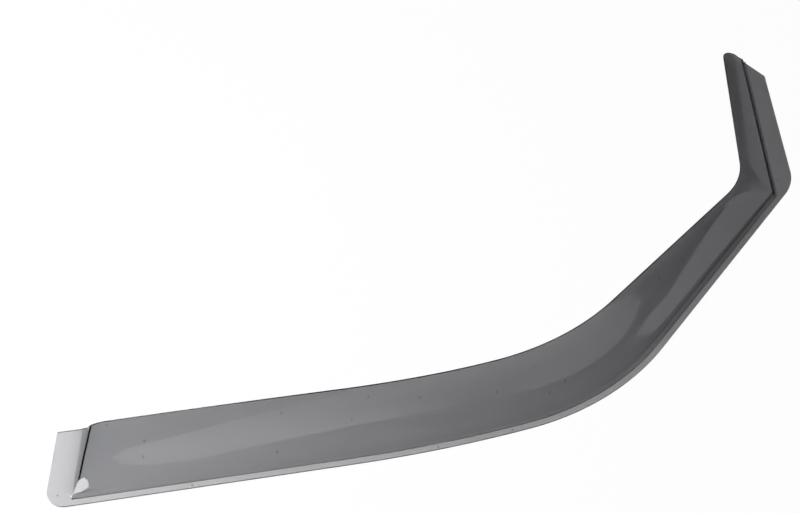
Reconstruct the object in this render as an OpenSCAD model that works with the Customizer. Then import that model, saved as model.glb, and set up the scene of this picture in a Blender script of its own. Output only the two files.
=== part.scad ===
/* [Flange edge, seen from above] */
// Length of the roof stretch, from the wide end to the gentle bend's corner
roof_len = 339; // [260:1:440]
// Turn of the gentle bend that ends the roof stretch, in degrees
gentle_turn = 7; // [4:0.5:12]
// Length of edge that the gentle bend takes on each side of its corner
gentle_reach = 80; // [50:1:110]
// Turn of the bend from the roof into the front pillar, in degrees
pillar_turn = 34; // [24:0.5:44]
// Length of edge that the pillar bend takes on each side of its corner
pillar_reach = 83; // [50:1:110]
// Length of the pillar stretch, from the pillar bend's corner to the sharp corner
pillar_len = 364; // [280:1:440]
// Turn of the sharp corner at the foot of the pillar, in degrees
corner_turn = 35.7; // [24:0.1:46]
// Length of edge that the sharp corner's rounding takes on each side
corner_reach = 19; // [12:1:30]
// Length of the front stretch, from the sharp corner to the flange's cut end
front_len = 182; // [140:1:240]

/* [Widths] */
// Width of the insertion flange along the roof and the pillar
flange_w = 5.5; // [4:0.5:9]
// Width of the insertion flange where the front stretch leaves the sharp corner
front_flange_w = 21.5; // [14:0.5:26]
// Width of the insertion flange at the front end
end_flange_w = 19.5; // [12:0.5:24]
// Overall width at the wide end
wide_end_w = 73.5; // [60:0.5:90]
// Overall width at the gentle bend
gentle_w = 67; // [54:0.5:80]
// Overall width at the pillar bend
pillar_w = 68.5; // [56:0.5:80]
// Overall width where the pillar stretch reaches the sharp corner
pillar_end_w = 42.5; // [36:0.5:56]
// Overall width where the front stretch leaves the sharp corner
front_start_w = 58.5; // [50:0.5:70]
// Overall width at the front end
front_end_w = 46; // [42:0.5:60]
// Length of free edge that its inner bend takes on each side of the sharp corner
inner_reach = 32; // [20:1:44]

/* [Wide end] */
// Length of the flat tab beyond the raised panel
tab_len = 22; // [14:1:34]
// Slant of the tab's end and of the fold behind it, in degrees
end_slant = 5.3; // [0:0.1:10]
// Length of edge that the rounding of the tab's outer corner takes
tab_round = 18; // [8:1:21]
// Slope of the ramp from the tab up to the panel, in degrees
ramp_slope = 42; // [35:1:50]
// Radius of the ramp's foot, on its outer face
ramp_foot_r = 8; // [4:0.5:10]
// Radius of the ramp's crest, on its outer face
ramp_crest_r = 14; // [8:0.5:16]

/* [Front end] */
// Slant of the flange's cut end, in degrees
flange_cut = 51; // [30:0.5:58]
// Length of the front stretch, from the sharp corner to the tongue's corner
tongue_len = 219; // [190:1:280]
// Slant of the tongue's end, in degrees
tongue_slant = 22.5; // [10:0.5:36]
// Length of the tongue's end, from its corner towards the step
tongue_end_len = 14.5; // [12:0.5:17]
// Length of edge that the rounding of the tongue's corner takes
tongue_round = 9; // [5:0.5:12]

/* [Section] */
// Thickness of the moulded sheet
sheet_t = 3; // [2.6:0.1:3.4]
// Thickness of the insertion flange and the tab, which are thinned from above
flange_t = 1.5; // [1:0.1:2]
// Height of the step's crest above the flange's underside
step_h = 8; // [7:0.1:10]
// Steepest slope of the step's wall, in degrees
wall_slope = 64; // [52:1:68]
// Radius of the step's foot, on its outer face
foot_r = 1.5; // [1:0.1:2.5]
// Radius of the step's crest, on its outer face
crest_r = 6; // [5:0.1:7]
// Height of the free edge's line at the wide end
wide_rise = 8.4; // [7:0.1:10]
// Height of the free edge's line at the front end
front_rise = 7.4; // [7:0.1:10]
// Extra height of the free edge halfway along
arch_rise = 8; // [3:0.1:12]
// How far the arch leans towards the wide end
arch_lean = 0.5; // [0:0.05:0.8]
// Radius of the panel's bulge, between the step's crest and the free edge
panel_r = 240; // [150:5:500]
// Corner that is taken off the free edge, above and below
edge_ease = 0.7; // [0.3:0.1:1]

/* [Hidden] */
// Width of the small wall where the thinned flange meets the full sheet
shoulder_w = 0.3;
// Rounding of the step's corner where the pillar meets the front stretch
crease_reach = 2.5;
// Shortest straight wall between a step's two arcs
least_wall = 0.2;
// Facets on each stretch, from the wide end to the front end
tab_steps = 8;
roof_steps = 9;
bend_steps = 6;
turn_steps = 12;
pillar_steps = 8;
corner_steps = 8;
front_steps = 6;
tongue_steps = 5;
tip_steps = 2;
// Facets across the section
foot_steps = 2;
crest_steps = 4;
panel_steps = 9;
// Shares of the front stretch that lie abeam the tongue's corner and its tip
tongue_from = 0.84;
tongue_to = 0.95;

function dir(a) = [cos(a), sin(a)];
function left(d) = [-d.y, d.x];
function unit(v) = v / norm(v);
function mix(a, b, t) = a + (b - a) * t;
function last(list) = list[len(list) - 1];
function up(p, z) = [p.x, p.y, z];
function clip(k, top) = max(0, min(top, k));

// An exact arc that leaves the line from a to c at p, and joins the line from c to b at q
function arc_point(p, c, q, t) =
    let (
        turn = acos(max(-1, min(1, unit(c - p) * unit(q - c)))),
        w = cos(turn / 2) * 2 * t * (1 - t)
    )
    (p * pow(1 - t, 2) + c * w + q * pow(t, 2)) / (pow(1 - t, 2) + w + pow(t, 2));
function line_points(a, b, steps) = [for (k = [1:steps]) mix(a, b, k / steps)];
function arc_points(p, c, q, steps) = [for (k = [1:steps]) arc_point(p, c, q, k / steps)];

// Where two lines through c meet, once one is moved a and the other b to the left
function moved_corner(c, d1, d2, a, b) =
    let (n1 = left(d1), n2 = left(d2), k = n1 * n2)
    c + (a * (n1 - k * n2) + b * (n2 - k * n1)) / (1 - k * k);

// A step's outer face in section: a foot arc, a straight wall and a crest arc
function wall_len(rise, slope, r1, r2) =
    max(least_wall, (rise - (r1 + r2) * (1 - cos(slope))) / sin(slope));
function step_size(rise, slope, r1, r2) =
    let (wall = wall_len(rise, slope, r1, r2))
    [(r1 + r2) * sin(slope) + wall * cos(slope), (r1 + r2) * (1 - cos(slope)) + wall * sin(slope)];
// Its points, as shares of its run and of its height
function step_shares(rise, slope, r1, r2) =
    let (
        size = step_size(rise, slope, r1, r2),
        foot = [for (k = [0:foot_steps])
            let (a = slope * k / foot_steps) r1 * [sin(a), 1 - cos(a)]],
        crest = [for (k = [crest_steps:-1:0])
            let (a = slope * k / crest_steps) size - r2 * [sin(a), 1 - cos(a)]]
    )
    [for (p = concat(foot, crest)) [p.x / size.x, p.y / size.y]];
step_run = step_size(step_h - sheet_t, wall_slope, foot_r, crest_r).x;
step_profile = step_shares(step_h - sheet_t, wall_slope, foot_r, crest_r);
ramp_run = step_size(wide_rise - sheet_t, ramp_slope, ramp_foot_r, ramp_crest_r).x;
ramp_profile = step_shares(wide_rise - sheet_t, ramp_slope, ramp_foot_r, ramp_crest_r);

// Corners of the flange's outer edge, from the wide end to the front end
roof_dir = dir(0);
bend_dir = dir(gentle_turn);
pillar_dir = dir(gentle_turn + pillar_turn);
front_dir = dir(gentle_turn + pillar_turn + corner_turn);
bend_corner = [roof_len, 0];
pillar_corner = bend_corner + (gentle_reach + pillar_reach) * bend_dir;
sharp_corner = pillar_corner + pillar_len * pillar_dir;

// A point of the front stretch, given its distance along the flange's edge and across
function front_point(along, across) = sharp_corner + along * front_dir + across * left(front_dir);
tongue_corner = front_point(tongue_len, front_end_w);
tongue_end = front_point(
    tongue_len - tongue_end_len * sin(tongue_slant),
    front_end_w - tongue_end_len * cos(tongue_slant)
);

// Four lines run along the part: flange edge, step's foot, step's crest and free edge.
// Each has its width at the wide end, at the two bends, and before and after the sharp
// corner, and then the length of line that the sharp corner takes.
crest_w = flange_w + step_run;
RAILS = [
    [0, 0, 0, 0, 0, corner_reach],
    [flange_w, flange_w, flange_w, flange_w, front_flange_w, crease_reach],
    [crest_w, crest_w, crest_w, crest_w, front_flange_w + step_run, crease_reach],
    [wide_end_w, gentle_w, pillar_w, pillar_end_w, front_start_w, inner_reach],
];
EDGE = 0;
STEP = 2;
FREE = 3;

function rail_corners(r) = [
    moved_corner(bend_corner, roof_dir, bend_dir, RAILS[r][1], RAILS[r][1]),
    moved_corner(pillar_corner, bend_dir, pillar_dir, RAILS[r][2], RAILS[r][2]),
    moved_corner(sharp_corner, pillar_dir, front_dir, RAILS[r][3], RAILS[r][4]),
];

// A line starts on the tab's end, past the rounded corner, and stops at the front end
function rail_start(r) =
    let (w = RAILS[r][0] + (r == FREE ? 0 : tab_round))
    [w * tan(end_slant), w];
function rail_stop(r) =
    let (flange_end = front_len + end_flange_w * tan(flange_cut))
    [
        front_point(front_len, 0),
        front_point(flange_end, end_flange_w),
        front_point(flange_end, end_flange_w + step_run),
        tongue_end,
    ][r];

// A point of the roof stretch, at distance e from the tab's end
function roof_point(r, corner, e) =
    let (start = [RAILS[r][0] * tan(end_slant), RAILS[r][0]])
    mix(start, corner, e / (corner.x - corner.y * tan(end_slant)));

// Distances of the stations behind the tab's end, up to the top of the ramp
fold_stations = [tab_len, for (p = ramp_profile) tab_len + shoulder_w + p.x * ramp_run];
ramp_shares = [0, for (p = ramp_profile) p.y];

function tab_points(r, corner) =
    r == EDGE
    ? [for (k = [0:tab_steps - 1])
        arc_point(rail_start(r), [0, 0], [tab_round, 0], k / (tab_steps - 1))]
    : [for (k = [0:tab_steps - 1])
        mix(rail_start(r), roof_point(r, corner, tab_len), k / tab_steps)];

function rail_points(r) =
    let (
        c = rail_corners(r),
        corner_r = RAILS[r][5],
        ends = concat(tab_points(r, c[0]), [for (e = fold_stations) roof_point(r, c[0], e)]),
        share = gentle_reach / (gentle_reach + pillar_reach),
        bend_in = c[0] - gentle_reach * unit(c[0] - last(ends)),
        bend_out = mix(c[0], c[1], share),
        turn_out = c[1] + (1 - share) * norm(c[1] - c[0]) * unit(c[2] - c[1]),
        corner_in = c[2] - corner_r * unit(c[2] - c[1]),
        tip = r == FREE ? tongue_corner : rail_stop(r),
        corner_out = c[2] + corner_r * unit(tip - c[2]),
        tongue_in = r == FREE
            ? tongue_corner - tongue_round * unit(tongue_corner - c[2])
            : mix(corner_out, tip, tongue_from),
        tongue_out = r == FREE
            ? tongue_corner + tongue_round * unit(rail_stop(r) - tongue_corner)
            : mix(corner_out, tip, tongue_to)
    )
    concat(
        ends,
        line_points(last(ends), bend_in, roof_steps),
        arc_points(bend_in, c[0], bend_out, bend_steps),
        arc_points(bend_out, c[1], turn_out, turn_steps),
        line_points(turn_out, corner_in, pillar_steps),
        arc_points(corner_in, c[2], corner_out, corner_steps),
        line_points(corner_out, tongue_in, front_steps),
        r == FREE
            ? arc_points(tongue_in, tongue_corner, tongue_out, tongue_steps)
            : line_points(tongue_in, tongue_out, tongue_steps),
        line_points(tongue_out, rail_stop(r), tip_steps)
    );

rails = [for (r = [EDGE:FREE]) rail_points(r)];
STATIONS = len(rails[EDGE]);
FOLD = tab_steps;

// Length of the free edge up to each station
function run_up(points, i = 1, sum = [0]) =
    i == len(points) ? sum
    : run_up(points, i + 1, concat(sum, [last(sum) + norm(points[i] - points[i - 1])]));
free_run = run_up(rails[FREE]);

// Height of the free edge's line: an arch that leans towards the wide end
function free_height(i) =
    let (q = free_run[i] / last(free_run))
    mix(wide_rise, front_rise, q) + 4 * arch_rise * q * (1 - q) * (1 + arch_lean * (1 - 2 * q));
// Share of the full height that the ramp has reached
function ramp_share(i) = i <= FOLD ? 0 : i - FOLD < len(ramp_shares) ? ramp_shares[i - FOLD] : 1;

// Share of the panel's width that a station spans, less than one beside the tongue's end
function front_across(p) = (p - sharp_corner) * left(front_dir);
function panel_share(i) =
    i < STATIONS - tip_steps - tongue_steps ? 1
    : let (crest = front_across(rails[STEP][i]))
    min(1, (front_across(rails[FREE][i]) - crest) / (front_end_w - crest));

// The outer face at full thickness, at one station: flange, step, then panel
function section(i) =
    let (
        edge = rails[EDGE][i],
        foot = rails[1][i],
        crest = rails[STEP][i],
        free = rails[FREE][i],
        span = norm(free - crest),
        panel_w = span / panel_share(i),
        bulge = pow(panel_w, 2) / (2 * panel_r),
        high = free_height(i),
        slope = (high - step_h + bulge) / panel_w,
        share = ramp_share(i)
    )
    [
        up(edge, sheet_t),
        up(mix(foot, edge, shoulder_w / norm(edge - foot)), sheet_t),
        for (p = step_profile)
            up(mix(foot, crest, p.x),
               sheet_t + share * p.y * (step_h - sheet_t - slope * (1 - p.x) * step_run)),
        for (k = [1:panel_steps])
            let (t = sin(90 * k / panel_steps) * (1 - edge_ease / span), v = t * panel_share(i))
            up(mix(crest, free, t),
               sheet_t + share * (mix(step_h, high, v) + bulge * v * (1 - v) - sheet_t)),
    ];

face = [for (i = [0:STATIONS - 1]) section(i)];
COLUMNS = len(face[0]);
FOOT = 2;
CREST = FOOT + len(step_profile) - 1;

// Direction from the inner to the outer face: square to a step, straight up elsewhere
function normal(i, j) =
    i <= FOLD + 1 || j <= FOOT || j > CREST ? [0, 0, 1]
    : let (
        along = face[clip(i + 1, STATIONS - 1)][j] - face[clip(i - 1, STATIONS - 1)][j],
        across = face[i][clip(j + 1, COLUMNS - 1)] - face[i][clip(j - 1, COLUMNS - 1)]
    )
    unit(cross(along, across));

function thinned(i, j) = i <= FOLD || j < FOOT;
function top_point(i, j) = thinned(i, j) ? up(face[i][j], flange_t) : face[i][j];
function under_point(i, j) = face[i][j] - sheet_t * normal(i, j);

// One closed ring of points round the section, the eased free edge included
function ring(i) =
    let (
        n = COLUMNS - 1,
        above = top_point(i, n),
        below = under_point(i, n),
        free = rails[FREE],
        ahead = free[clip(i + 1, STATIONS - 1)] - free[clip(i - 1, STATIONS - 1)],
        out = up(edge_ease * left(unit(ahead)), 0),
        drop = (above - below) * edge_ease / sheet_t
    )
    [
        for (j = [0:n]) top_point(i, j),
        above + out - drop,
        below + out + drop,
        for (j = [n:-1:0]) under_point(i, j),
    ];

rings = [for (i = [0:STATIONS - 1]) ring(i)];
RING = len(rings[0]);
points = [for (r = rings) each r];
quads = [
    for (i = [0:STATIONS - 2], j = [0:RING - 1])
        let (k = (j + 1) % RING)
        [i * RING + j, i * RING + k, (i + 1) * RING + k, (i + 1) * RING + j]
];
first_cap = [for (j = [RING - 1:-1:0]) j];
last_cap = [for (j = [0:RING - 1]) (STATIONS - 1) * RING + j];

// The origin is the middle of the outline, on the flange's underside
xs = [for (p = points) p.x];
ys = [for (p = points) p.y];
middle = [min(xs) + max(xs), min(ys) + max(ys), 0] / 2;

module deflector() {
    color([0.3, 0.3, 0.32, 0.75])
    translate(-middle)
    polyhedron(points, concat(quads, [first_cap, last_cap]), convexity = 6);
}

deflector();
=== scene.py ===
import math

import bpy
import numpy as np
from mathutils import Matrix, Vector


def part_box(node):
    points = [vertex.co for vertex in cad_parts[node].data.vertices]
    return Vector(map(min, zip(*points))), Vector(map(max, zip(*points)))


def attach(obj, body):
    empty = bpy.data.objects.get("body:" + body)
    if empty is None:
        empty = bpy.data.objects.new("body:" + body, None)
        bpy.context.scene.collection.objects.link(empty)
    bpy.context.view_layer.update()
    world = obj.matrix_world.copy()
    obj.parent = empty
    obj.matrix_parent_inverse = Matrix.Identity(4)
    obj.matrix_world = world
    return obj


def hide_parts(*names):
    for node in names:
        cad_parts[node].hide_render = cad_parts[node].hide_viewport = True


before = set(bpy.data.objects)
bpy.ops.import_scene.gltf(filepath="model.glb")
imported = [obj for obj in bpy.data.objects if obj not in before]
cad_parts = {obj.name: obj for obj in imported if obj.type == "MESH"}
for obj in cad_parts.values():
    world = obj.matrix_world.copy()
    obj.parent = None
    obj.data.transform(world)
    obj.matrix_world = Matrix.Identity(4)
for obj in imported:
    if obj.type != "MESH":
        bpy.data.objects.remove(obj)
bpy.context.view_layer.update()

# Driving dimensions, in millimetres and degrees, as in the part's own source
ROOF_LEN, GENTLE_TURN, GENTLE_REACH = 339, 7, 80
PILLAR_TURN, PILLAR_REACH, PILLAR_LEN = 34, 83, 364
CORNER_TURN, CORNER_REACH, INNER_REACH, CREASE_REACH = 35.7, 19, 32, 2.5
FRONT_LEN, FLANGE_CUT = 182, 51
FLANGE_W, FRONT_FLANGE_W, END_FLANGE_W = 5.5, 21.5, 19.5
WIDE_END_W, GENTLE_W, PILLAR_W = 73.5, 67, 68.5
PILLAR_END_W, FRONT_START_W, FRONT_END_W = 42.5, 58.5, 46
TAB_LEN, END_SLANT, TAB_ROUND = 22, 5.3, 18
TONGUE_LEN, TONGUE_SLANT, TONGUE_END_LEN, TONGUE_ROUND = 219, 22.5, 14.5, 9
SHEET_T, FLANGE_T, STEP_H, PANEL_R = 3, 1.5, 8, 240
WIDE_RISE, FRONT_RISE, ARCH_RISE, ARCH_LEAN = 8.4, 7.4, 8, 0.5

# The step in section, and the shoulder where the flange ends
FOOT_FLAT, WALL_SLOPE, FOOT_R, CREST_R = 1.4, 64, 0.8, 5
LEAST_WALL, SHOULDER_W = 0.2, 0.3

# The ramp at the wide end: a flat strip, a steep face up to a ridge, and a long round to the
# panel, which reaches further beside the step
RAMP_FLAT, RAMP_FOOT_R, RAMP_SLOPE, RIDGE_RISE = 2.5, 3, 47, 3.6
RIDGE_SLOPE, ROUND_REACH, CREST_REACH, CREST_SHARE = 25, 13, 28, 0.35
# The ridge runs out towards the step, where the ramp is one soft round
RIDGE_FADE, SOFT_REACH, SOFT_DEPTH = 0.25, 22, 0.5
SOFT_SLOPE, SOFT_TWIST = 0.15, 0.02

# How much thicker the tab gets towards its fold, and how late
TAB_SWELL, SWELL_POWER = 0.5, 3
# The free edge: its eased corners, and how far and how late its inner side leans in
EDGE_EASE, EDGE_LEAN, LEAN_POWER = 0.5, 0.5, 8
# The moulding's other corners, in metres and degrees, and how flat its flat faces look
BEVEL_W, BEVEL_SEGMENTS, BEVEL_ANGLE, FLATNESS = 0.00022, 2, 40, 80

# Facets of the fine mesh: along each stretch, and across the section
STEPS = {"tab": 24, "roof": 40, "gentle": 22, "turn": 44, "pillar": 40,
         "corner": 28, "front": 26, "tongue": 20, "tip": 6}
FLAT_STEPS, FOOT_STEPS, WALL_STEPS, RISE_STEPS = 2, 8, 4, 14
PANEL_STEPS, FLANGE_STEPS, EASE_STEPS = 48, 4, 4
RAMP_STEPS = {"flat": 3, "foot": 8, "wall": 8, "round": 30}
# The facets of the ramp's round lie closer together near the ridge
ROUND_BUNCH = 1.5
# Shares of the front stretch where the other lines' facets follow the tongue's round
TONGUE_FROM, TONGUE_TO = 0.84, 0.95
# The search for the ramp's inner face: its grain, and the stations before and past the ramp
RAMP_GRAIN, STATIONS_BEFORE, STATIONS_PAST = 0.03, 4, 7
# Limits that keep the ramp's curves smooth
MOST_PULL, LEAST_RISE, LEAST_POWER, TINY = 3, 1e-3, 4, 1e-6


def direction(a):
    return np.array([math.cos(math.radians(a)), math.sin(math.radians(a))])


def left(d):
    return np.array([-d[1], d[0]])


def unit(v):
    return v / np.linalg.norm(v)


def mix(a, b, t):
    return a + (b - a) * t


def smooth(t):
    return t * t * (3 - 2 * t)


def shares(steps):
    """Even shares from just past 0 to 1."""
    return [k / steps for k in range(1, steps + 1)]


def travelled(points):
    """The way along a row of points, from its first one."""
    hops = np.linalg.norm(np.diff(points, axis=0), axis=1)
    return np.concatenate([[0], np.cumsum(hops)])


def arc_point(p, c, q, t):
    """A point of the arc that leaves p towards c and ends at q."""
    turn = math.acos(max(-1, min(1, float(unit(c - p) @ unit(q - c)))))
    w = math.cos(turn / 2) * 2 * t * (1 - t)
    return (p * (1 - t) ** 2 + c * w + q * t ** 2) / ((1 - t) ** 2 + w + t ** 2)


def line(a, b, steps):
    return [mix(a, b, t) for t in shares(steps)]


def arc(p, c, q, steps):
    return [arc_point(p, c, q, t) for t in shares(steps)]


def moved_corner(c, d1, d2, a, b):
    """Where two lines through c meet, once one is moved a and the other b to the left."""
    n1, n2 = left(d1), left(d2)
    k = n1 @ n2
    return c + (a * (n1 - k * n2) + b * (n2 - k * n1)) / (1 - k * k)


def step_profile(rise, slope, flat, foot_r, crest_r):
    """An S-shaped step in section: its points as shares of its run and height, and its run."""
    s, c = math.sin(math.radians(slope)), math.cos(math.radians(slope))
    wall = max(LEAST_WALL, (rise - (foot_r + crest_r) * (1 - c)) / s)
    run = flat + (foot_r + crest_r) * s + wall * c
    height = (foot_r + crest_r) * (1 - c) + wall * s
    foot = [(flat * k / FLAT_STEPS, 0) for k in range(FLAT_STEPS)]
    foot += [(flat + foot_r * math.sin(a), foot_r * (1 - math.cos(a)))
             for a in np.radians(np.linspace(0, slope, FOOT_STEPS + 1))]
    crest = [(run - crest_r * math.sin(a), height - crest_r * (1 - math.cos(a)))
             for a in np.radians(np.linspace(slope, 0, RISE_STEPS + 1))]
    wall_points = [tuple(mix(np.array(foot[-1]), np.array(crest[0]), k / WALL_STEPS))
                   for k in range(1, WALL_STEPS)]
    return np.array([(x / run, z / height) for x, z in foot + wall_points + crest]), run


def bow(start, radius, a0, a1, steps):
    """Points of an arc that leaves start at slope a0 and ends at slope a1."""
    side = math.copysign(radius, a1 - a0)
    a = np.radians(a0 + (a1 - a0) * np.array(shares(steps)))
    a0 = math.radians(a0)
    return [(start[0] + side * (math.sin(t) - math.sin(a0)),
             start[1] - side * (math.cos(t) - math.cos(a0))) for t in a]


def ramp_profile():
    """The steep face along the free edge: distances behind the fold's shoulder, and heights."""
    points = [(RAMP_FLAT * t, 0.0) for t in [0] + shares(RAMP_STEPS["flat"])]
    points += bow(points[-1], RAMP_FOOT_R, 0, RAMP_SLOPE, RAMP_STEPS["foot"])
    x, z = points[-1]
    rise = RIDGE_RISE - z
    run = rise / math.tan(math.radians(RAMP_SLOPE))
    points += [(x + run * t, z + rise * t) for t in shares(RAMP_STEPS["wall"])]
    return np.array(points).T


STEP, STEP_RUN = step_profile(STEP_H - SHEET_T, WALL_SLOPE, FOOT_FLAT, FOOT_R, CREST_R)
RAMP_BACK, RAMP_UP = ramp_profile()
ROUND_SHARES = np.array(shares(RAMP_STEPS["round"])) ** ROUND_BUNCH
RAMP_STATIONS = len(RAMP_BACK) + len(ROUND_SHARES)

# Corners of the flange's outer edge, from the wide end to the front end
ROOF_DIR, GENTLE_DIR = direction(0), direction(GENTLE_TURN)
PILLAR_DIR = direction(GENTLE_TURN + PILLAR_TURN)
FRONT_DIR = direction(GENTLE_TURN + PILLAR_TURN + CORNER_TURN)
GENTLE_CORNER = np.array([ROOF_LEN, 0.0])
PILLAR_CORNER = GENTLE_CORNER + (GENTLE_REACH + PILLAR_REACH) * GENTLE_DIR
SHARP_CORNER = PILLAR_CORNER + PILLAR_LEN * PILLAR_DIR


def front_point(along, across):
    return SHARP_CORNER + along * FRONT_DIR + across * left(FRONT_DIR)


SLANT = math.tan(math.radians(END_SLANT))
TONGUE_CORNER = front_point(TONGUE_LEN, FRONT_END_W)
TONGUE_END = front_point(
    TONGUE_LEN - TONGUE_END_LEN * math.sin(math.radians(TONGUE_SLANT)),
    FRONT_END_W - TONGUE_END_LEN * math.cos(math.radians(TONGUE_SLANT)),
)
FLANGE_END = FRONT_LEN + END_FLANGE_W * math.tan(math.radians(FLANGE_CUT))
CREST_W = FLANGE_W + STEP_RUN
EDGE, FOOT, CREST, FREE = range(4)
# Each line's widths at the wide end, the two bends, and both sides of the sharp corner,
# the length that its sharp corner takes, and its end
RAILS = [
    ((0, 0, 0, 0, 0), CORNER_REACH, front_point(FRONT_LEN, 0)),
    ((FLANGE_W,) * 4 + (FRONT_FLANGE_W,), CREASE_REACH, front_point(FLANGE_END, END_FLANGE_W)),
    ((CREST_W,) * 4 + (FRONT_FLANGE_W + STEP_RUN,), CREASE_REACH,
     front_point(FLANGE_END, END_FLANGE_W + STEP_RUN)),
    ((WIDE_END_W, GENTLE_W, PILLAR_W, PILLAR_END_W, FRONT_START_W), INNER_REACH, TONGUE_END),
]


def line_corners(w):
    """Where a line with these widths turns at the two bends and the sharp corner."""
    return [
        moved_corner(GENTLE_CORNER, ROOF_DIR, GENTLE_DIR, w[1], w[1]),
        moved_corner(PILLAR_CORNER, GENTLE_DIR, PILLAR_DIR, w[2], w[2]),
        moved_corner(SHARP_CORNER, PILLAR_DIR, FRONT_DIR, w[3], w[4]),
    ]


def fold_stations(r):
    """Distances behind the tab's end of a line's points on the fold, the ramp and its round."""
    share, reach = (1, ROUND_REACH) if r == FREE else (CREST_SHARE, CREST_REACH)
    back = RAMP_BACK * share
    back = np.concatenate([back, back[-1] + reach * ROUND_SHARES])
    return [TAB_LEN] + list(TAB_LEN + SHOULDER_W + back)


def wide_end(r, width, corner):
    """A line's plan points on the tab and the ramp."""
    base = np.array([width * SLANT, width])

    def roof_point(e):
        return mix(base, corner, e / (corner[0] - corner[1] * SLANT))

    start_w = width + (0 if r == FREE else TAB_ROUND)
    start = np.array([start_w * SLANT, start_w])
    n = STEPS["tab"]
    if r == EDGE:
        tip, past = np.array([0.0, 0.0]), np.array([float(TAB_ROUND), 0.0])
        points = [arc_point(start, tip, past, k / (n - 1)) for k in range(n)]
    else:
        points = [mix(start, roof_point(TAB_LEN), k / n) for k in range(n)]
    return points + [roof_point(e) for e in fold_stations(r)]


def front_end(r, corner, start, stop):
    """A line's plan points past the sharp corner, with the tongue's round on the free edge."""
    if r == FREE:
        tongue_in = TONGUE_CORNER - TONGUE_ROUND * unit(TONGUE_CORNER - corner)
        tongue_out = TONGUE_CORNER + TONGUE_ROUND * unit(stop - TONGUE_CORNER)
        tongue = arc(tongue_in, TONGUE_CORNER, tongue_out, STEPS["tongue"])
    else:
        tongue_in = mix(start, stop, TONGUE_FROM)
        tongue_out = mix(start, stop, TONGUE_TO)
        tongue = line(tongue_in, tongue_out, STEPS["tongue"])
    points = line(start, tongue_in, STEPS["front"]) + tongue
    return points + line(tongue_out, stop, STEPS["tip"])


def rail(r):
    """The plan points of one of the four lines, from the wide end to the front end."""
    widths, corner_reach, stop = RAILS[r]
    gentle, pillar, sharp = line_corners(widths)
    points = wide_end(r, widths[0], gentle)
    share = GENTLE_REACH / (GENTLE_REACH + PILLAR_REACH)
    gentle_in = gentle - GENTLE_REACH * unit(gentle - points[-1])
    gentle_out = mix(gentle, pillar, share)
    turn_reach = (1 - share) * np.linalg.norm(pillar - gentle)
    turn_out = pillar + turn_reach * unit(sharp - pillar)
    corner_in = sharp - corner_reach * unit(sharp - pillar)
    ahead = TONGUE_CORNER if r == FREE else stop
    corner_out = sharp + corner_reach * unit(ahead - sharp)
    points += line(points[-1], gentle_in, STEPS["roof"])
    points += arc(gentle_in, gentle, gentle_out, STEPS["gentle"])
    points += arc(gentle_out, pillar, turn_out, STEPS["turn"])
    points += line(turn_out, corner_in, STEPS["pillar"])
    points += arc(corner_in, sharp, corner_out, STEPS["corner"])
    points += front_end(r, sharp, corner_out, stop)
    return np.array(points)


rails = [rail(r) for r in (EDGE, FOOT, CREST, FREE)]
STATIONS = len(rails[EDGE])
FOLD = STEPS["tab"]
FOOT_COLUMN = FLANGE_STEPS + 1
CREST_COLUMN = FOOT_COLUMN + len(STEP) - 1


def free_heights():
    """Height of the free edge's line at each station: an arch that leans to the wide end."""
    way = travelled(rails[FREE])
    q = way / way[-1]
    arch = 4 * ARCH_RISE * q * (1 - q) * (1 + ARCH_LEAN * (1 - 2 * q))
    return mix(WIDE_RISE, FRONT_RISE, q) + arch


def eased(u, over, reach, slope):
    """Height gained at share u of a round that starts at a slope and ends level."""
    pull = min(MOST_PULL, slope * reach / max(over, LEAST_RISE))
    return over * (pull * u * (1 - u) ** 2 + smooth(u))


def soft_least(a, b):
    """The lesser of two heights, rounded off where they are alike."""
    return ((a + TINY) ** -LEAST_POWER + (b + TINY) ** -LEAST_POWER) ** (-1 / LEAST_POWER)


def ramp_height(i, t, across, full):
    """Height over the flat strip at a station, across from the step's foot.

    t is the share of the way from the crest to the free edge. The ridge fades out towards the
    step, where the corner between ramp and step is one soft round.
    """
    k = i - FOLD - 1
    if k < 0:
        return 0
    if k >= RAMP_STATIONS:
        return full
    steps = len(RAMP_UP)
    ridge_slope = math.tan(math.radians(RIDGE_SLOPE))
    share, reach = mix(CREST_SHARE, 1, t), mix(CREST_REACH, ROUND_REACH, t)
    ridge = RAMP_BACK[-1] * share
    u = 0 if k < steps else ROUND_SHARES[k - steps]
    back = RAMP_BACK[k] * share if k < steps else ridge + reach * u
    full = full * (1 - SOFT_DEPTH * (1 - u) ** 2 * (1 - min(1, across / SOFT_REACH)) ** 2)
    low = soft_least(share * RAMP_UP[min(k, steps - 1)], full)
    sharp = low + eased(u, full - low, reach, ridge_slope)
    slope = min(ridge_slope, SOFT_SLOPE + SOFT_TWIST * across)
    soft = eased(back / (ridge + reach), full, ridge + reach, slope)
    return mix(soft, sharp, smooth(min(1, t / RIDGE_FADE)))


def panel_share(i):
    """Share of the panel's width that a station spans, less than one beside the tongue's end."""
    if i < STATIONS - STEPS["tip"] - STEPS["tongue"]:
        return 1
    crest, free = ((rails[r][i] - SHARP_CORNER) @ left(FRONT_DIR) for r in (CREST, FREE))
    return min(1, (free - crest) / (FRONT_END_W - crest))


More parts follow.
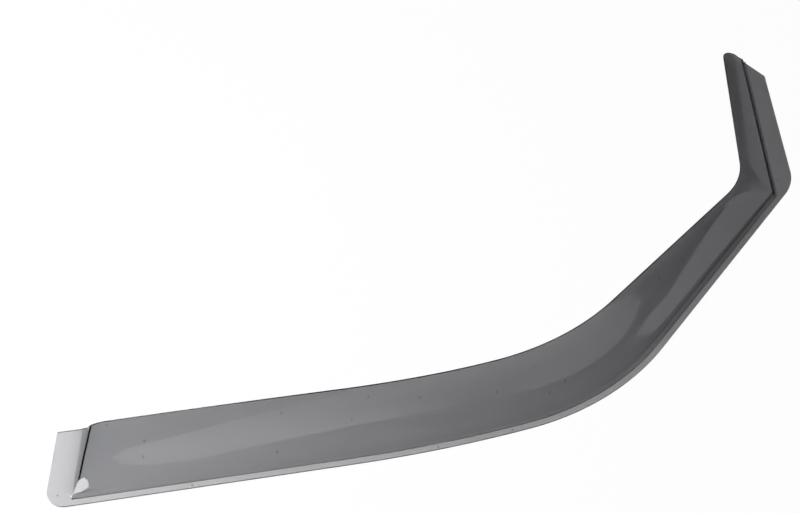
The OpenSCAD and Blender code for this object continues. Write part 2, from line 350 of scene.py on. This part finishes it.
def outer_row(i, high):
    """The outer face's points at one station, from the flange's edge to the free edge."""
    edge, foot, crest, free = (rails[r][i] for r in (EDGE, FOOT, CREST, FREE))
    span = np.linalg.norm(free - crest)
    panel_w = span / panel_share(i)
    bulge = panel_w ** 2 / (2 * PANEL_R)
    slope = (high - STEP_H + bulge) / panel_w
    shoulder = mix(foot, edge, SHOULDER_W / np.linalg.norm(edge - foot))
    row = [(*mix(edge, shoulder, k / FLANGE_STEPS), SHEET_T) for k in range(FLANGE_STEPS + 1)]
    for x, y in STEP:
        rise = STEP_H - SHEET_T - slope * (1 - x) * STEP_RUN
        z = ramp_height(i, 0, x * STEP_RUN, y * rise)
        row.append((*mix(foot, crest, x), SHEET_T + z))
    for k in range(1, PANEL_STEPS + 1):
        t = math.sin(math.pi / 2 * k / PANEL_STEPS) * (1 - EDGE_EASE / span)
        v = t * panel_share(i)
        z = mix(STEP_H, high, v) + bulge * v * (1 - v)
        z = ramp_height(i, t, STEP_RUN + t * span, z - SHEET_T)
        row.append((*mix(crest, free, t), SHEET_T + z))
    return row


def outer_face():
    """The outer face at full thickness, as a grid of stations by columns."""
    return np.array([outer_row(i, high) for i, high in enumerate(free_heights())])


def step_normals(face):
    """Square to the long step, and straight up on the flat parts and the panel."""
    across = np.gradient(face, axis=1)
    run = np.linalg.norm(across[..., :2], axis=2)
    length = np.linalg.norm(across, axis=2)
    normals = across * -(across[..., 2] / run / length)[..., None]
    normals[..., 2] = run / length
    normals[:, :FOOT_COLUMN + 1] = (0, 0, 1)
    normals[:, CREST_COLUMN + 1:] = (0, 0, 1)
    return normals


def ramp_drop(face):
    """How far below its straight depth the ramp's inner face lies, to keep the thickness."""
    drop = np.zeros(face.shape[:2])
    last = FOLD + RAMP_STATIONS + STATIONS_PAST
    for j in range(FOOT_COLUMN, face.shape[1]):
        e = travelled(face[:last, j, :2])
        fine_e = np.arange(0, e[-1], RAMP_GRAIN)
        fine_z = np.interp(fine_e, e, face[:last, j, 2])
        for i in range(FOLD - STATIONS_BEFORE, last - 1):
            near = np.abs(fine_e - e[i]) < SHEET_T
            depth = np.sqrt(SHEET_T ** 2 - (fine_e[near] - e[i]) ** 2)
            drop[i, j] = max(0, face[i, j, 2] - SHEET_T - np.min(fine_z[near] - depth))
    return drop


def inner_face(face, out):
    """The inner face, a sheet's thickness behind the outer one, with the free edge's lean."""
    normals = step_normals(face)
    under = face - SHEET_T * normals
    under[..., 2] -= ramp_drop(face) * normals[..., 2]
    under[..., 2] = np.maximum(under[..., 2], 0)
    across = np.clip(np.arange(face.shape[1]) - CREST_COLUMN, 0, None) / PANEL_STEPS
    across = np.sin(math.pi / 2 * across) ** LEAN_POWER
    return under - EDGE_LEAN * across[None, :, None] * out[:, None]


def tab_swell(columns):
    """How much thicker the tab gets towards its fold, where the sheet was thinned less."""
    along = np.linspace(0, 1, FOLD + 1) ** SWELL_POWER
    across = np.clip((np.arange(columns) - FOOT_COLUMN) / len(STEP), 0, 1)
    return TAB_SWELL * along[:, None] * across


def eased_edge(upper, lower, out):
    """The free edge's cut face with its two eased corners, from the outer to the inner face."""
    out = out * EDGE_EASE
    drop = (upper - lower) * EDGE_EASE / SHEET_T
    turns = [math.pi / 2 * t for t in shares(EASE_STEPS)]
    high = [upper + out * math.sin(t) - drop * (1 - math.cos(t)) for t in turns]
    low = [lower + out * math.sin(t) + drop * (1 - math.cos(t)) for t in reversed(turns)]
    return np.stack(high + low, axis=1)


def section_rings():
    """One closed ring of points a station: outer face, free edge, inner face."""
    face = outer_face()
    out = np.array([[*left(unit(d)), 0] for d in np.gradient(rails[FREE], axis=0)])
    under = inner_face(face, out)
    top = face.copy()
    top[:FOLD + 1, :, 2] = FLANGE_T + tab_swell(face.shape[1])
    top[:, :FOOT_COLUMN, 2] = FLANGE_T
    edge = eased_edge(top[:, -1], under[:, -1], out)
    return np.concatenate([top, edge, under[:, ::-1]], axis=1)


def fitted(points, box):
    """Millimetres to metres, with the outline set into the CAD node's box."""
    lo, hi = (np.array(p, float) for p in box)
    flat = points.reshape(-1, 3)
    low, high = flat.min(0), flat.max(0)
    return (points - low) / (high - low) * (hi - lo) + lo


def add_object(name, data):
    thing = bpy.data.objects.new(name, data)
    bpy.context.scene.collection.objects.link(thing)
    return thing


def make_shell(name):
    """The closed mesh of the moulded sheet."""
    rings = fitted(section_rings(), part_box("deflector"))
    stations, ring = rings.shape[:2]
    faces = []
    for i in range(stations - 1):
        here, there = i * ring, (i + 1) * ring
        for j in range(ring):
            after = (j + 1) % ring
            faces.append((here + j, there + j, there + after, here + after))
    faces.append(tuple(range(ring)))
    faces.append(tuple((stations - 1) * ring + j for j in range(ring - 1, -1, -1)))
    mesh = bpy.data.meshes.new(name)
    mesh.from_pydata([tuple(p) for p in rings.reshape(-1, 3)], [], faces)
    mesh.update()
    mesh.shade_smooth()
    return add_object(name, mesh)


def round_edges(piece):
    """Takes the sharpness off the moulding's corners, and keeps its flat faces flat."""
    bevel = piece.modifiers.new("eased corners", "BEVEL")
    bevel.width, bevel.segments = BEVEL_W, BEVEL_SEGMENTS
    bevel.limit_method, bevel.angle_limit = "ANGLE", math.radians(BEVEL_ANGLE)
    bevel.use_clamp_overlap = True
    weighted = piece.modifiers.new("flat faces", "WEIGHTED_NORMAL")
    weighted.weight = FLATNESS


# The acrylic: its refraction, its tint to the metre, and what lamps keep on the way through it
ACRYLIC_IOR, TINT_DENSITY, TINT_COLOUR = 1.49, 860, (0.5, 0.5, 0.515, 1)
LAMP_SHARE = (0.96, 0.96, 0.96, 1)
# Slow waves in its surface: the noise's scale, detail and roughness, and the bump's strength
# and height in metres
WAVE_NOISE, WAVE_BUMP, WAVE_HEIGHT = (28.0, 2.0, 0.4), 0.02, 0.0006
# Haze: the same for its noise, the part of its range that counts, and what the surface's
# roughness and clearness are at its two ends
HAZE_NOISE, HAZE_RANGE = (55.0, 5.0, 0.6), (0.3, 0.75)
HAZE_ROUGHNESS, HAZE_CLEARNESS = (0.015, 0.06), (0.97, 1.0)
# Dark specks of dust: how many to the metre, their size as a share of their spacing, and colour
SPECKS, SPECK_SIZE, SPECK_COLOUR = 20.0, (0.006, 0.021), (0.45, 0.45, 0.45, 1)


class Nodes:
    """A short way to add shader nodes and link them."""

    def __init__(self, tree):
        self.tree = tree
        tree.nodes.clear()

    def add(self, kind, settings=(), **inputs):
        node = self.tree.nodes.new(kind)
        for key, value in dict(settings).items():
            setattr(node, key, value)
        for key, value in inputs.items():
            self.put(node, key.replace("_", " "), value)
        return node

    def put(self, node, key, value):
        socket = node.inputs[int(key)] if key.isdigit() else node.inputs[key]
        if isinstance(value, bpy.types.NodeSocket):
            self.tree.links.new(value, socket)
        else:
            socket.default_value = value

    def join(self, kind, first, second, share=None, settings=()):
        """A node that puts two inputs together, with a share of the second in front if given."""
        node = self.add(kind, settings)
        values = [first, second] if share is None else [share, first, second]
        for k, value in enumerate(values):
            self.put(node, str(k), value)
        return node.outputs[0]

    def maths(self, operation, first, second):
        return self.join("ShaderNodeMath", first, second, settings={"operation": operation})

    def mix_shaders(self, share, first, second):
        return self.join("ShaderNodeMixShader", first, second, share)

    def ranged(self, value, source, target, kind="LINEAR"):
        """A value moved from one range to another."""
        node = self.add("ShaderNodeMapRange", {"interpolation_type": kind}, Value=value)
        for key, level in zip(("From Min", "From Max", "To Min", "To Max"), (*source, *target)):
            self.put(node, key, level)
        return node.outputs[0]

    def noise(self, scale, detail, roughness):
        """A noise that is fixed to the object."""
        place = self.add("ShaderNodeTexCoord").outputs["Object"]
        node = self.add("ShaderNodeTexNoise", Scale=scale, Detail=detail, Roughness=roughness,
                        Vector=place)
        return node.outputs[0]


def new_material(name):
    material = bpy.data.materials.new(name)
    material.use_nodes = True
    return material, Nodes(material.node_tree)


def dusty_colour(n, haze):
    """Nearly clear, a little duller where the haze is, with dark specks."""
    place = n.add("ShaderNodeTexCoord").outputs["Object"]
    cells = n.add("ShaderNodeTexVoronoi", {"voronoi_dimensions": "2D"}, Scale=SPECKS,
                  Vector=place)
    dust = n.ranged(cells.outputs["Distance"], SPECK_SIZE, (1.0, 0.0))
    veil = n.ranged(haze, (0.0, 1.0), HAZE_CLEARNESS)
    clear = n.add("ShaderNodeCombineColor", Red=veil, Green=veil, Blue=veil).outputs[0]
    colour = n.add("ShaderNodeMix", {"data_type": "RGBA"})
    n.put(colour, "0", dust)
    n.put(colour, "6", clear)
    n.put(colour, "7", SPECK_COLOUR)
    return colour.outputs[2]


def tinted_acrylic():
    """Polished smoke-tinted acrylic: clear faces round an absorbing body."""
    material, n = new_material("tinted_acrylic")
    waves = n.noise(*WAVE_NOISE)
    bump = n.add("ShaderNodeBump", Strength=WAVE_BUMP, Distance=WAVE_HEIGHT, Height=waves)
    haze = n.noise(*HAZE_NOISE)
    body = n.add("ShaderNodeBsdfPrincipled", IOR=ACRYLIC_IOR, Transmission_Weight=1.0,
                 Roughness=n.ranged(haze, HAZE_RANGE, HAZE_ROUGHNESS),
                 Base_Color=dusty_colour(n, haze), Normal=bump.outputs[0])
    lamps = n.add("ShaderNodeBsdfTransparent", Color=LAMP_SHARE)
    path = n.add("ShaderNodeLightPath")
    surface = n.mix_shaders(path.outputs["Is Shadow Ray"], body.outputs[0], lamps.outputs[0])
    tint = n.add("ShaderNodeVolumeAbsorption", Color=TINT_COLOUR, Density=TINT_DENSITY)
    n.add("ShaderNodeOutputMaterial", Surface=surface, Volume=tint.outputs[0])
    return material


# The studio: a lamp over the wide end with a narrowed beam, dim softboxes under the ceiling,
# and a small bright card that shows in the ramp's corner, with places in metres
ROOM_LEVEL, CEILING, WHITE = 0.06, 1.6, (1, 1, 1, 1)
# Light that has met fewer matt surfaces than this sees the world as white through the sheet
FIRST_BOUNCE = 0.5
# The floor: half its width, how far it lies under the part, its colour, and how much of what
# the camera sees of it is plain white
FLOOR_REACH, FLOOR_DROP, FLOOR_COLOUR, FLOOR_WHITE = 40.0, 0.0004, (0.85, 0.85, 0.85, 1), 0.97
KEY_PLACE, KEY_AIM = (-0.631, -0.342, 1.294), (-0.857, 0.037, 0)
KEY_SIZE, KEY_LEVEL, KEY_SPREAD = (0.5, 0.5), 50.5, 104
# The softboxes' light: one level, or two with the places between which one fades to the other
ROSE = (1, 0.95, 1, 1)
FAR_LEVEL, SPOT_LEVEL, SPOT_HEIGHT = 1.1, 10.0, 0.08
LONG_LEVELS, LONG_FADE, LONG_FADE_ALONG = (1.5, 0.45), (-0.15, 0.45), (1, 1, 0)
BEND_LEVELS, BEND_FADE = (0.45, 0.92), (0.2, 0.65)
FRONT_LEVELS, FRONT_FADE = (0.32, 0.82), (1.6, 1.95)
SPOT_BOX = [(-0.495, -0.149), (-0.501, -0.159), (-0.438, -0.202), (-0.428, -0.222),
            (-0.412, -0.218), (-0.433, -0.195), (-0.452, -0.173), (-0.466, -0.166)]
LONG_BOX = [(-0.74, 0.45), (-0.69, 0.3), (-0.6, 0.17), (-0.48, 0.09), (0.2, 0.085),
            (0.2, 0.753), (-0.1, 0.68), (-0.25, 0.61), (-0.4, 0.585), (-0.55, 0.545),
            (-0.72, 0.54)]
BEND_BOX = [(0.2, 0.085), (0.45, 0.08), (0.7, 0.14), (0.92, 0.27), (1.07, 0.43), (1.12, 0.58),
            (1.1, 0.7), (1.0, 0.83), (0.8, 0.9), (0.2, 0.753)]
FAR_BOX = [(1.17, 0.36), (1.25, 0.49), (1.32, 0.56), (1.36, 0.72), (1.38, 0.92), (1.4, 1.1),
           (1.36, 1.25), (3.6, 1.25), (3.6, 0.3), (1.4, 0.33), (1.25, 0.33)]
FRONT_BOX = [(1.36, 1.25), (1.2, 1.6), (1.1, 2.8), (3.6, 2.8), (3.6, 1.25)]
CAMERA_PLACE = (-0.17816, -0.65542, 0.75874)
CAMERA_AIM = (-0.07186, -0.01276, 0.0)
CAMERA_LENS, CAMERA_SENSOR, CAMERA_CLIP = 44.265, 36.0, (0.01, 50)


def floor_material():
    """White to the camera, and lit like any pale floor for what shines through the sheet."""
    material, n = new_material("white_floor")
    lit = n.add("ShaderNodeBsdfDiffuse", Color=FLOOR_COLOUR)
    white = n.add("ShaderNodeEmission", Color=WHITE, Strength=1.0)
    path = n.add("ShaderNodeLightPath")
    seen = n.maths("MULTIPLY", path.outputs["Is Camera Ray"], FLOOR_WHITE)
    surface = n.mix_shaders(seen, lit.outputs[0], white.outputs[0])
    n.add("ShaderNodeOutputMaterial", Surface=surface)
    return material


def make_floor():
    mesh = bpy.data.meshes.new("floor")
    corners = [(-1, -1), (1, -1), (1, 1), (-1, 1)]
    points = [(x * FLOOR_REACH, y * FLOOR_REACH, -FLOOR_DROP) for x, y in corners]
    mesh.from_pydata(points, [], [(0, 1, 2, 3)])
    floor = add_object("floor", mesh)
    floor.data.materials.append(floor_material())
    return floor


def make_world():
    """White to the camera and through the sheet, and a dim grey room for all else."""
    world = bpy.data.worlds.new("studio")
    bpy.context.scene.world = world
    world.use_nodes = True
    n = Nodes(world.node_tree)
    room = n.add("ShaderNodeBackground", Color=WHITE, Strength=ROOM_LEVEL)
    white = n.add("ShaderNodeBackground", Color=WHITE, Strength=1.0)
    path = n.add("ShaderNodeLightPath")
    direct = n.maths("LESS_THAN", path.outputs["Diffuse Depth"], FIRST_BOUNCE)
    through = n.maths("MULTIPLY", path.outputs["Is Transmission Ray"], direct)
    seen = n.maths("MAXIMUM", path.outputs["Is Camera Ray"], through)
    surface = n.mix_shaders(seen, room.outputs[0], white.outputs[0])
    n.add("ShaderNodeOutputWorld", Surface=surface)


def point_at(thing, place, aim):
    thing.location = place
    thing.rotation_euler = (Vector(aim) - Vector(place)).to_track_quat("-Z", "Y").to_euler()


def make_key(floor):
    """The key lamp, with a given brightness along its axis, which reflections don't show.

    Only the floor blocks it, so that its light reaches the floor under the tinted sheet.
    """
    light = bpy.data.lights.new("key", "AREA")
    light.shape = "RECTANGLE"
    light.size, light.size_y = KEY_SIZE
    light.spread = math.radians(KEY_SPREAD)
    half = light.spread / 2
    beam = math.pi * (1 - half / math.tan(half))
    light.energy = KEY_LEVEL * KEY_SIZE[0] * KEY_SIZE[1] * beam
    lamp = add_object("key", light)
    lamp.visible_glossy = False
    lamp.visible_transmission = False
    point_at(lamp, KEY_PLACE, KEY_AIM)
    blockers = bpy.data.collections.new("key_blockers")
    blockers.objects.link(floor)
    lamp.light_linking.blocker_collection = blockers


def light_panel(name, outline, height, colour, levels, fade=None, along=(1, 0, 0)):
    """A glowing card that gives light and shows in reflections alone, with a fade if asked."""
    mesh = bpy.data.meshes.new(name)
    mesh.from_pydata([(x, y, height) for x, y in outline], [], [tuple(range(len(outline)))])
    card = add_object(name, mesh)
    material, n = new_material(name)
    glow = n.add("ShaderNodeEmission", Color=colour, Strength=levels[0])
    if fade:
        place = n.add("ShaderNodeVectorMath", {"operation": "DOT_PRODUCT"})
        n.put(place, "0", n.add("ShaderNodeTexCoord").outputs["Object"])
        n.put(place, "1", along)
        level = n.ranged(place.outputs["Value"], fade, levels, "SMOOTHSTEP")
        n.put(glow, "Strength", level)
    n.add("ShaderNodeOutputMaterial", Surface=glow.outputs[0])
    mesh.materials.append(material)
    card.visible_camera = False
    card.visible_shadow = False
    card.visible_transmission = False
    return card


def make_softboxes():
    light_panel("long_softbox", LONG_BOX, CEILING, WHITE, LONG_LEVELS, LONG_FADE,
                LONG_FADE_ALONG)
    light_panel("bend_softbox", BEND_BOX, CEILING, WHITE, BEND_LEVELS, BEND_FADE)
    light_panel("far_softbox", FAR_BOX, CEILING, ROSE, [FAR_LEVEL])
    light_panel("front_softbox", FRONT_BOX, CEILING, ROSE, FRONT_LEVELS, FRONT_FADE)
    spot = light_panel("spot_card", SPOT_BOX, SPOT_HEIGHT, WHITE, [SPOT_LEVEL])
    spot.visible_diffuse = False


def make_camera():
    data = bpy.data.cameras.new("camera")
    data.lens, data.sensor_width = CAMERA_LENS, CAMERA_SENSOR
    data.clip_start, data.clip_end = CAMERA_CLIP
    camera = add_object("camera", data)
    point_at(camera, CAMERA_PLACE, CAMERA_AIM)
    bpy.context.scene.camera = camera


make_camera()
shell = make_shell("deflector_shell")
round_edges(shell)
shell.data.materials.append(tinted_acrylic())
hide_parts("deflector")
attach(shell, "root")
make_world()
make_key(make_floor())
make_softboxes()

bpy.context.scene.view_settings.view_transform = "Standard"
